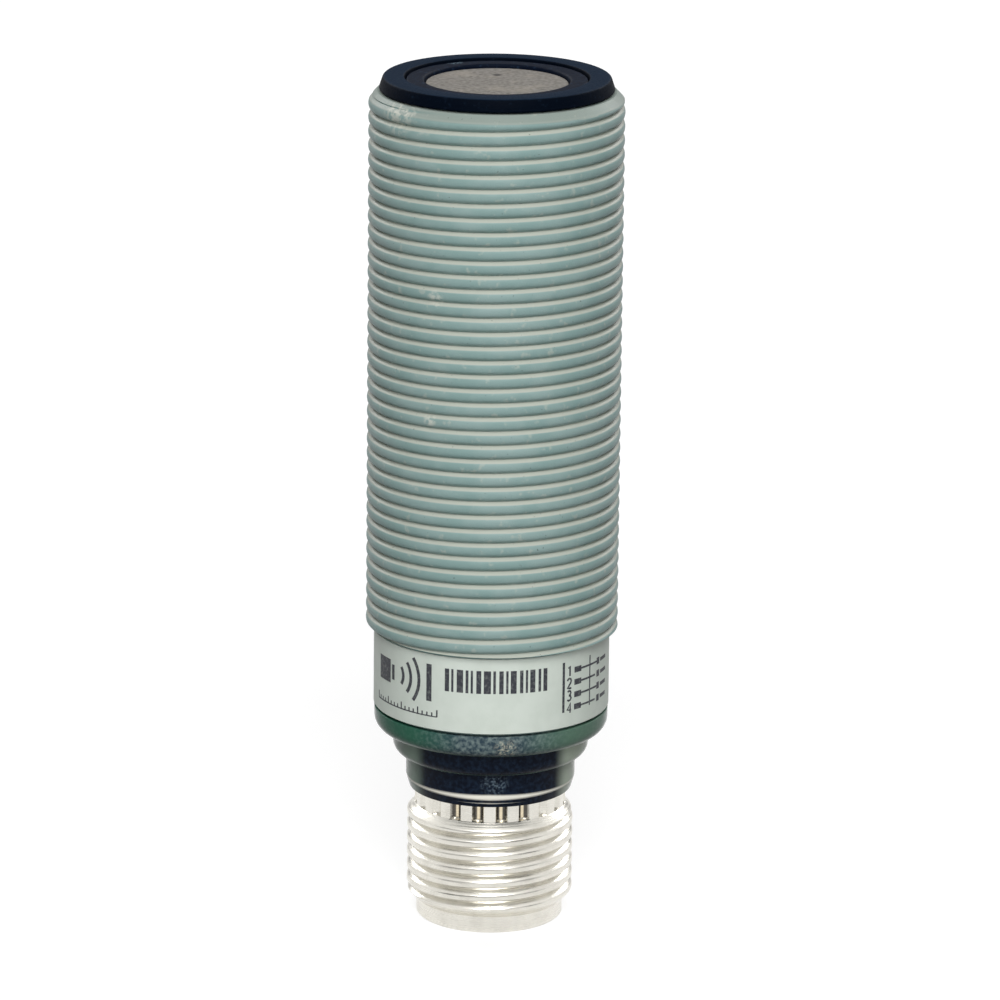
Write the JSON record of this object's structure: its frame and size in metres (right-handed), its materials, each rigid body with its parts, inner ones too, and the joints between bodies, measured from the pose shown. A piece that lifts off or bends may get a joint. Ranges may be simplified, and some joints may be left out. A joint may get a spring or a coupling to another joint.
{
  "type": "ultrasonic sensor",
  "caption": "Cylindrical ultrasonic distance sensor: fine-threaded plastic barrel with a sensing disc at the front, a dark stepped cap and a threaded metal plug at the back.",
  "frame": {"origin": "centre of the plug's rim, the lowest point of the upright sensor", "axes": "+Z along the barrel from the plug to the sensing face; -Y is the side where the label is read, +Y its seam"},
  "size_m": [0.0178, 0.0178, 0.0608],
  "materials": {
    "barrel_plastic": "satin",
    "label_film": "satin",
    "smoked_cap_plastic": "gloss",
    "black_cap_plastic": "satin",
    "sealing_rubber": "satin",
    "matching_layer_epoxy": "matte",
    "piezo_ceramic": "satin",
    "damping_foam": "matte",
    "silicone_ring": "satin",
    "tinned_wire": "satin",
    "board_laminate": "satin",
    "ferrite": "satin",
    "chip_epoxy": "satin",
    "component_ceramic": "satin",
    "crystal_can": "satin",
    "tantalum_case": "satin",
    "lamp_resin": "gloss",
    "nickel_plated_brass": "polished",
    "contact_insulator": "satin",
    "gold_plated_contact": "polished"
  },
  "bodies": {
    "root": {"threaded_housing": "barrel_plastic", "type_label": "label_film", "rear_cap": "smoked_cap_plastic", "front_cap": "black_cap_plastic", "rear_seal_ring": "sealing_rubber", "front_seal_ring": "sealing_rubber", "matching_layer": "matching_layer_epoxy", "piezo_disc": "piezo_ceramic", "backing_foam": "damping_foam", "decoupling_ring": "silicone_ring", "transducer_lead_left": "tinned_wire", "transducer_lead_right": "tinned_wire", "main_board": "board_laminate", "drive_transformer": "ferrite", "receive_amplifier": "chip_epoxy", "thermistor": "component_ceramic", "timing_crystal": "crystal_can", "signal_processor": "chip_epoxy", "filter_capacitor_upper": "component_ceramic", "filter_capacitor_lower": "component_ceramic", "supply_capacitor": "tantalum_case", "voltage_regulator": "chip_epoxy", "output_driver": "chip_epoxy", "terminal_board": "board_laminate", "status_lamp_1": "lamp_resin", "status_lamp_2": "lamp_resin", "status_lamp_3": "lamp_resin", "status_lamp_4": "lamp_resin", "connector_shell": "nickel_plated_brass", "contact_carrier": "contact_insulator", "contact_pin_1": "gold_plated_contact", "contact_pin_2": "gold_plated_contact", "contact_pin_3": "gold_plated_contact", "contact_pin_4": "gold_plated_contact"}
  },
  "joints": []
}
